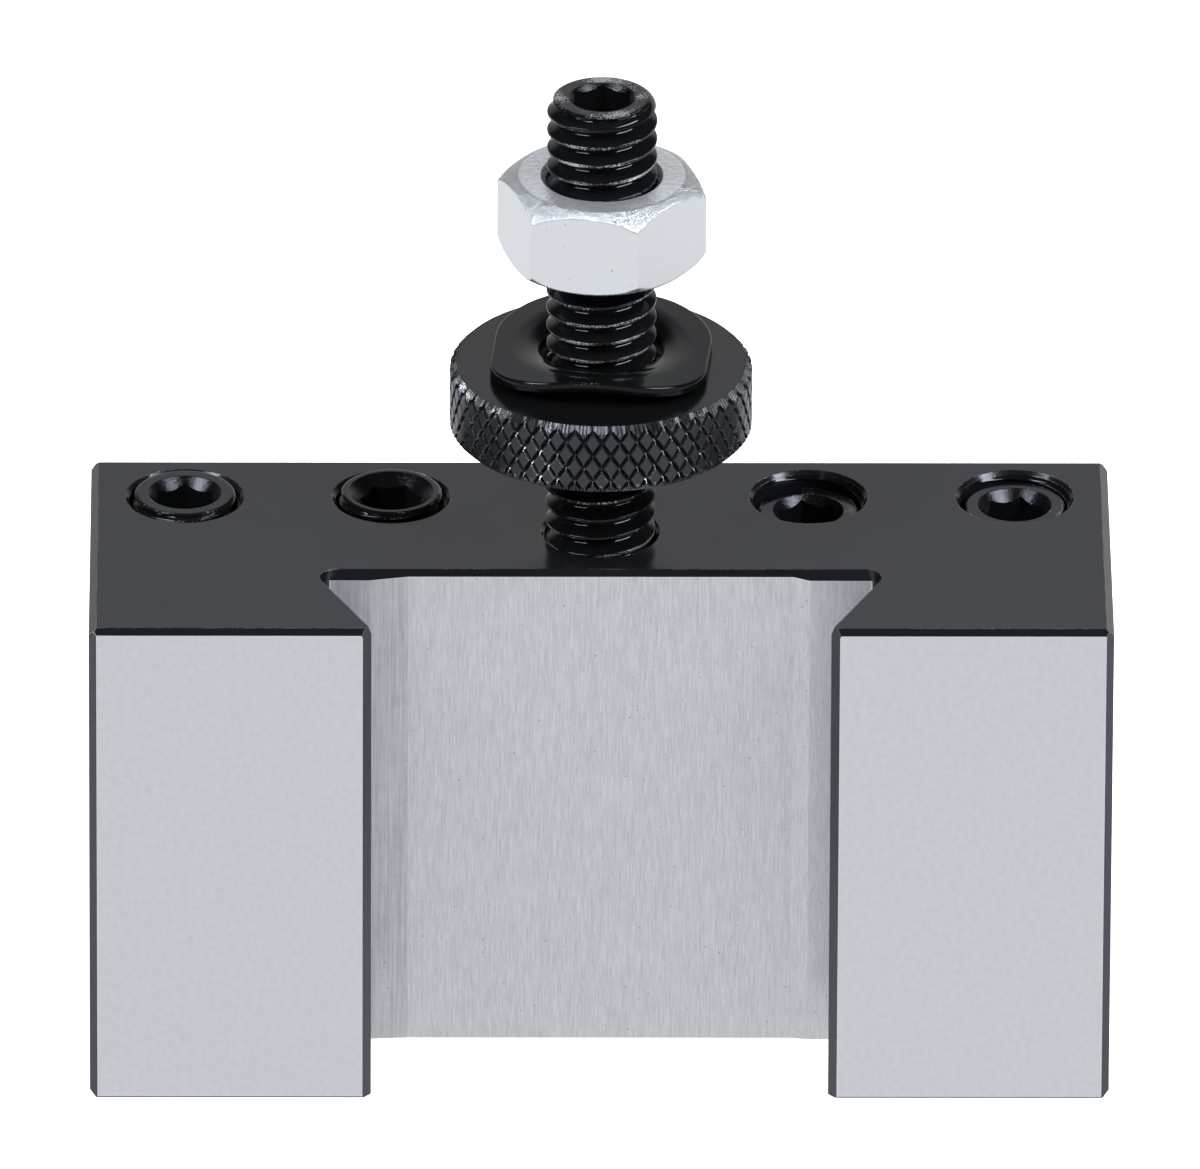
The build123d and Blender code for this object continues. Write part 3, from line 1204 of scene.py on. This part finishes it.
@dataclass(frozen=True)
class LockNut:
    """The hexagon nut: chamfered at both faces, with every edge softened by the forging and the plate."""

    node: str = "lock_nut"
    across_flats: float = 13.2
    face_diameter: float = 12.1
    chamfer_angle: float = 30.0
    corner_angle: float = 48.0
    corner_within: float = 0.5
    turn: float = -10.8
    edge_blend: float = 0.16
    chamfer_blend: float = 0.13
    face_round: float = 0.3
    bore_clearance: float = 0.05
    bore_lip: float = 0.35
    lip_round: float = 0.12
    lip_run: float = 1.1
    face_inset: float = 0.35
    segments: int = 360
    chamfer_rows: int = 30
    chamfer_reach: float = 1.15
    chamfer_above: float = 0.3
    face_above: float = 0.93

    @property
    def corner(self) -> float:
        """Distance from the axis to a sharp corner."""
        return self.across_flats / 2 / math.cos(math.pi / 6)

    def hexagon(self, angle: float) -> float:
        """Distance from the axis to the flats in a direction, with rounded corners."""
        sixth = math.pi / 3
        off = angle % sixth - sixth / 2
        near, far = (self.across_flats / 2 / math.cos(a) for a in (off, sixth - abs(off)))
        return blended(near, far, self.edge_blend)

    def chamfer(self, drop: float) -> float:
        """Radius of the turned chamfer at a depth below the face."""
        face, knee = self.face_diameter / 2, self.corner - self.corner_within
        gentle = face + drop / math.tan(math.radians(self.chamfer_angle))
        knee_drop = (knee - face) * math.tan(math.radians(self.chamfer_angle))
        steep = knee + (drop - knee_drop) / math.tan(math.radians(self.corner_angle))
        return blended(gentle, steep, self.chamfer_blend)

    def build(self) -> bpy.types.Object:
        """Builds the nut in its place.

        Returns:
            The new piece.
        """
        place, stud = Place.of(self.node), Place.of("height_stud")
        height, bore = place.top - place.bottom, stud.radius + self.bore_clearance
        face = self.face_diameter / 2
        depth = self.chamfer_reach * (self.corner - face) * math.tan(math.radians(self.corner_angle))
        drops = [depth * k / self.chamfer_rows for k in range(self.chamfer_rows + 1)]
        lip = filleted([
            (bore, self.bore_lip, 0.0), (bore + self.bore_lip, 0.0, self.lip_round),
            (bore + self.lip_run, 0.0, 0.0),
        ])
        inner = [(radius, height - drop) for radius, drop in lip] + [(face - self.face_inset, height)]
        upper = [height - drop for drop in drops]
        levels = upper + [height - z for z in reversed(upper)]
        rows = [[(r, z)] * self.segments for r, z in inner]
        for z in levels:
            drop = min(z, height - z)
            ease = max(self.face_round - drop, 0.0) ** 2 / (4 * self.face_round)
            cone = self.chamfer(drop) - ease
            rows.append([
                (blended(self.hexagon(2 * math.pi * k / self.segments), cone, self.chamfer_blend), z)
                for k in range(self.segments)
            ])
        rows += [[(r, height - z)] * self.segments for r, z in reversed(inner)]
        angles = [2 * math.pi * k / self.segments for k in range(self.segments)]
        placed = [[polar(r, a, z) for (r, z), a in zip(row, angles)] for row in rows]
        skin = Skin()
        skin.add_rows(placed, loop=True)
        mesh = skin.mesh("lock_nut_dressed", (place.x, place.y, place.bottom), self.turn)
        for polygon in mesh.polygons:
            rise = abs(polygon.normal.z)
            polygon.material_index = 2 if rise > self.face_above else int(rise > self.chamfer_above)
        smooth(mesh, sharp_above=40.0)
        return put(mesh, Body.LOCK_NUT, [NUT_ZINC, CHAMFER_ZINC, FACE_ZINC], [self.node])


class BlockFace(Enum):
    """Kinds of face on the block and their finishes, in the order of its materials."""

    BLACK = BLOCK_BLACK
    PAD = PAD_STEEL
    BAND = FLOOR_STEEL
    MILLED = MILLED_STEEL
    FILED = FILED_BLACK_AND_SHEEN
    BEVEL = BEVEL_BLACK_AND_SHADE


@dataclass(frozen=True)
class ToolBlock:
    """The slotted block: black all over but for the faces that were ground, or milled, afterwards.

    Fields whose names end in within or step are in millimetres. Those from level to aside are bounds on a
    part of a face's normal.
    """

    ground_within: float = 0.35
    bevelled_within: float = 1.0
    ends_within: float = 1.0
    band_step: float = 0.03
    level: float = 0.97
    tilted: float = 0.3
    square: float = 0.99
    facing: float = 0.95
    half_facing: float = 0.6
    undercut: float = 0.3
    aside: float = 0.85
    node: str = "tool_block"

    def dress(self) -> None:
        """Gives the CAD block its finishes, face by face."""
        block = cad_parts[self.node].data
        order = list(BlockFace)
        block.materials.clear()
        for kind in order:
            block.materials.append(kind.value.material())
        place = Place.of(self.node)
        square_on = [face.center.y / MM for face in block.polygons if face.normal.y < -self.square]
        band = max(y for y in square_on if y < place.y)
        kinds = [self.face_kind(face, place, band) for face in block.polygons]
        for face, kind in zip(block.polygons, kinds):
            face.material_index = order.index(kind)
        counts = ", ".join(f"{kinds.count(kind)} {kind.name.lower()}" for kind in order)
        log.info("%s: %s faces", self.node, counts)

    def face_kind(self, polygon: bpy.types.MeshPolygon, place: Place, band: float) -> BlockFace:
        """Tells what kind of face a face of the block is.

        Args:
            polygon: The face.
            place: The block's place.
            band: Where the ground band on the dovetail's floor lies.

        Returns:
            The kind.
        """
        normal, centre = polygon.normal, polygon.center / MM
        front = place.y - place.depth / 2
        at_end = abs(centre.x - place.x) > place.width / 2 - self.ends_within
        tilted = abs(normal.z) > self.tilted
        if centre.y > place.y or at_end and tilted or abs(normal.z) > self.level:
            return BlockFace.BLACK
        # Faces tilted up get the darker bevel film, which is partly painted shade.
        if tilted:
            return BlockFace.BEVEL
        if normal.y < -self.facing:
            if centre.y < front + self.ground_within:
                return BlockFace.PAD
            on_band = centre.y > band - self.band_step or centre.x > place.x
            return BlockFace.BAND if on_band else BlockFace.MILLED
        if normal.y > self.undercut and abs(normal.x) > self.aside:
            return BlockFace.MILLED
        # Front bevels get the greyer film, which is partly painted sheen.
        filed = normal.y < -self.half_facing and centre.y < front + self.bevelled_within
        return BlockFace.FILED if filed else BlockFace.BLACK


def direction(azimuth: float, elevation: float) -> Vector:
    """Direction from the object, in degrees from the front to the right and over the floor."""
    a, e = math.radians(azimuth), math.radians(elevation)
    return Vector((math.sin(a) * math.cos(e), -math.cos(a) * math.cos(e), math.sin(e)))


@dataclass(frozen=True)
class Softbox:
    """A soft area light that faces the object, with its sizes in metres and its power in watts."""

    name: str
    azimuth: float
    width: float
    power: float
    elevation: float = 42.0
    height: float = 0.36
    distance: float = 0.9
    aim: float = 0.04

    def hang(self) -> None:
        """Hangs the light so that it looks at the height of its aim over the floor."""
        data = bpy.data.lights.new(self.name, "AREA")
        data.shape = "RECTANGLE"
        data.size, data.size_y = self.width, self.height
        data.energy = self.power
        lamp = bpy.data.objects.new(self.name, data)
        towards = direction(self.azimuth, self.elevation)
        lamp.location = Vector((0.0, 0.0, self.aim)) + towards * self.distance
        lamp.rotation_mode = "QUATERNION"
        lamp.rotation_quaternion = towards.to_track_quat("Z", "Y")
        bpy.context.scene.collection.objects.link(lamp)


@dataclass(frozen=True)
class Studio:
    """Camera, white sweep and soft light. The clip distances and the floor's size are in metres."""

    image_width: int = 1200
    pitch: float = 27.0
    yaw: float = -0.46
    roll: float = 0.267
    distance: float = 2400.0
    target: Point = (-0.02, 0.0, 34.44)
    pixels_per_mm: float = 13.979
    sensor: float = 36.0
    clip: Pair = (0.1, 20.0)
    floor_size: float = 6.0
    paper_gap: float = 0.01
    backdrop: float = 0.93
    ceiling: float = 0.07
    falloff: Pair = (0.5, 0.78)
    side_falloff: float = 0.58
    left_span: Pair = (-0.5, 0.0)
    left_share: float = 0.5
    room_light: float = 0.62
    softboxes: tuple[Softbox, ...] = (
        Softbox("softbox_left", -62.0, width=0.5, power=13.0),
        Softbox("softbox_right", 60.0, width=0.6, power=16.0),
    )

    def camera(self) -> None:
        """Puts the camera at the photograph's angle."""
        back = direction(self.yaw, self.pitch)
        a, r = math.radians(self.yaw), math.radians(self.roll)
        level = Vector((math.cos(a), math.sin(a), 0.0))
        upright = back.cross(level)
        right = math.cos(r) * level + math.sin(r) * upright
        up = math.cos(r) * upright - math.sin(r) * level
        data = bpy.data.cameras.new("camera")
        data.sensor_width = self.sensor
        data.lens = self.pixels_per_mm * self.distance * self.sensor / self.image_width
        data.clip_start, data.clip_end = self.clip
        camera = bpy.data.objects.new("camera", data)
        axes = Matrix((right, up, back)).transposed().to_4x4()
        camera.matrix_world = Matrix.Translation((Vector(self.target) + back * self.distance) * MM) @ axes
        bpy.context.scene.collection.objects.link(camera)
        bpy.context.scene.camera = camera

    def world(self) -> None:
        """Surrounds the scene with white, which falls off upwards, to the sides and to the left."""
        world = bpy.data.worlds.new("studio")
        bpy.context.scene.world = world
        world.use_nodes = True
        tree = world.node_tree
        tree.nodes.clear()
        view = add_node(tree, "TexCoord")["Generated"]
        parts = add_node(tree, "SeparateXYZ", links={0: view})
        azimuth = add_node(tree, "Math", links={0: parts["X"], 1: parts["Y"]}, operation="ARCTAN2")[0]
        aside = add_node(tree, "Math", links={0: azimuth}, operation="ABSOLUTE")[0]
        height = add_node(
            tree, "Math", {1: self.side_falloff}, {0: aside, 2: parts["Z"]}, operation="MULTIPLY_ADD",
        )[0]
        low, high = self.falloff
        sweep = add_node(
            tree, "MapRange",
            {"From Min": low, "From Max": high, "To Min": self.backdrop, "To Max": self.ceiling},
            {"Value": height}, interpolation_type="SMOOTHSTEP",
        )[0]
        left, middle = self.left_span
        shaded = add_node(
            tree, "MapRange",
            {"From Min": left, "From Max": middle, "To Min": self.left_share, "To Max": 1.0},
            {"Value": azimuth},
        )[0]
        room = add_node(tree, "Math", links={0: sweep, 1: shaded}, operation="MULTIPLY")
        path = add_node(tree, "LightPath")
        lit = add_node(
            tree, "Mix", {2: self.room_light}, {0: in_mirrors(tree, path), 3: room[0]},
            data_type="FLOAT",
        )
        seen = add_node(tree, "Mix", {3: WHITE}, {0: path["Is Camera Ray"], 2: lit[0]}, data_type="FLOAT")
        background = add_node(tree, "Background", links={"Strength": seen[0]})
        add_node(tree, "OutputWorld", links={"Surface": background[0]})

    def floor(self) -> None:
        """Lays the white paper that the holder stands on."""
        low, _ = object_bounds()
        half = self.floor_size / 2
        mesh = bpy.data.meshes.new("floor")
        corners = [(-half, -half, 0), (half, -half, 0), (half, half, 0), (-half, half, 0)]
        mesh.from_pydata(corners, [], [(0, 1, 2, 3)])
        mesh.materials.append(PAPER.material())
        sheet = bpy.data.objects.new("floor", mesh)
        sheet.location.z = low.z - self.paper_gap * MM
        bpy.context.scene.collection.objects.link(sheet)
        sheet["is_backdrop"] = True

    def build(self) -> None:
        """Builds the studio."""
        bpy.context.scene.view_settings.view_transform = "Standard"
        self.camera()
        self.world()
        self.floor()
        for softbox in self.softboxes:
            softbox.hang()


# The long stud that both nuts run on. Its face is rubbed brighter than those of the clamp screws.
HEIGHT_STUD = SocketScrew(
    "height_stud", Thread(3.93, lift=0.4), socket_turn=30.0, socket_depth=5.0, face_radius=3.15,
    dish_radius=2.36, point_bevel=0.8, crown_width=0.79, crown_depth=1.1, face_wear=0.96,
)


@dataclass(frozen=True)
class ClampScrews:
    """The four clamp screws, all alike but for how they were left turned and how their sockets were cut."""

    turns: tuple[float, ...] = (30.0, 4.0, 41.0, 17.0)
    dish_radii: tuple[float, ...] = (2.62, 3.05, 2.55, 2.65)
    dish_angles: tuple[float, ...] = (50.0, 36.0, 48.0, 50.0)
    face_radius: float = 3.35
    crest_radius: float = 3.72
    socket_depth: float = 4.0
    point_bevel: float = 1.2
    crown_width: float = 0.42
    crown_depth: float = 0.6

    def build(self) -> None:
        """Builds the four screws on their own bodies and the threads of their holes."""
        thread = Thread(self.crest_radius)
        for number, (turn, dish, angle) in enumerate(zip(self.turns, self.dish_radii, self.dish_angles), 1):
            node = f"clamp_screw_{number}"
            SocketScrew(
                node, thread, turn, self.socket_depth, self.face_radius, dish, self.point_bevel,
                self.crown_width, self.crown_depth, dish_angle=angle,
            ).build(node)
            HoleThread(node).build()


def main() -> None:
    """Builds the studio and then every piece of the holder."""
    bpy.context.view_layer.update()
    Studio().build()
    ToolBlock().dress()
    HEIGHT_STUD.build(Body.HOLDER)
    ClampScrews().build()
    KnurledNut().build()
    SpringWasher().build()
    LockNut().build()


if __name__ == "__main__":
    logging.basicConfig(level=logging.INFO, format="%(name)s: %(message)s")
    main()
